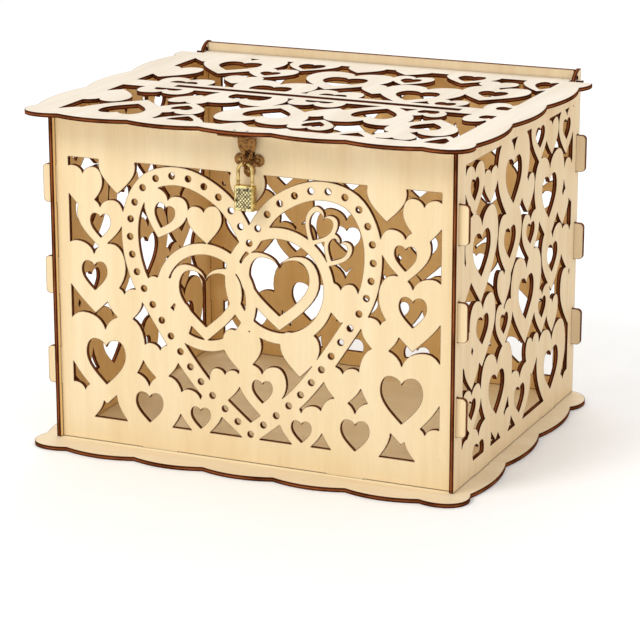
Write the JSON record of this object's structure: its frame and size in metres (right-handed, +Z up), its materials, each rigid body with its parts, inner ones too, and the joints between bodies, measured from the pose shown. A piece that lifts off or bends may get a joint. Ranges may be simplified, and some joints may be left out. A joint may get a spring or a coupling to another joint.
{
  "type": "wedding card box",
  "caption": "Flat-pack plywood card box with pierced heart lattice walls, scalloped base and lid, card slot, ear-hinged lid, hasp and small padlock.",
  "frame": {"origin": "middle of the base plate's underside, which is the middle of the whole object's footprint", "axes": "+Z up, -Y towards the front panel with the padlock, +X to the right as seen from the front"},
  "size_m": [0.3312, 0.273, 0.2473],
  "materials": {
    "plywood": "raw basswood plywood, sanded, with dark laser-burnt edges",
    "bronze": "antiqued brass plate, dark bronze, worn bright on its edges",
    "brass": "polished yellow brass plate",
    "steel": "plain steel wire"
  },
  "bodies": {
    "box": {"base_plate": "plywood", "front_panel": "plywood", "back_panel": "plywood", "left_side_panel": "plywood", "right_side_panel": "plywood", "staple_plate": "bronze", "staple_loop": "bronze", "plate_nail_1": "brass", "plate_nail_2": "brass", "plate_nail_3": "brass"},
    "lid": {"lid_panel": "plywood", "hasp_fixed_leaf": "bronze", "hasp_hinge_pin": "bronze", "hasp_nail_1": "steel", "hasp_nail_2": "steel"},
    "hasp_leaf": {"hasp_swing_leaf": "bronze"},
    "shackle": {"padlock_shackle": "brass"},
    "lock": {"padlock_body": "brass", "padlock_spring": "steel"},
    "key_plug": {"padlock_plug": "brass"},
    "lock_bolt": {"padlock_bolt": "steel"}
  },
  "joints": [
    {"name": "lid_hinge", "type": "hinge", "parent": "box", "child": "lid", "pos_m": [0, 0.1256, 0.2388], "axis": [-1, 0, 0], "range_deg": [0, 94]},
    {"name": "hasp_swing", "type": "hinge", "parent": "lid", "child": "hasp_leaf", "pos_m": [0.001, -0.1142, 0.2342], "axis": [-1, 0, 0], "range_deg": [0, 85]},
    {"name": "padlock_swing", "type": "hinge", "parent": "box", "child": "shackle", "pos_m": [0.001, -0.1174, 0.2126], "axis": [0, 1, 0], "range_deg": [-30, 30]},
    {"name": "padlock_release", "type": "slide", "parent": "shackle", "child": "lock", "axis": [0, 0, -1], "range_m": [0, 0.0065]},
    {"name": "key_turn", "type": "hinge", "parent": "lock", "child": "key_plug", "pos_m": [0.001, -0.1174, 0.188], "axis": [0, 0, 1], "range_deg": [0, 90]},
    {"name": "bolt_throw", "type": "slide", "parent": "lock", "child": "lock_bolt", "axis": [1, 0, 0], "range_m": [0, 0.0009]}
  ],
  "couplings": [
    {"joint": "key_turn", "follows": "bolt_throw", "rad_per_m": 1745}
  ]
}
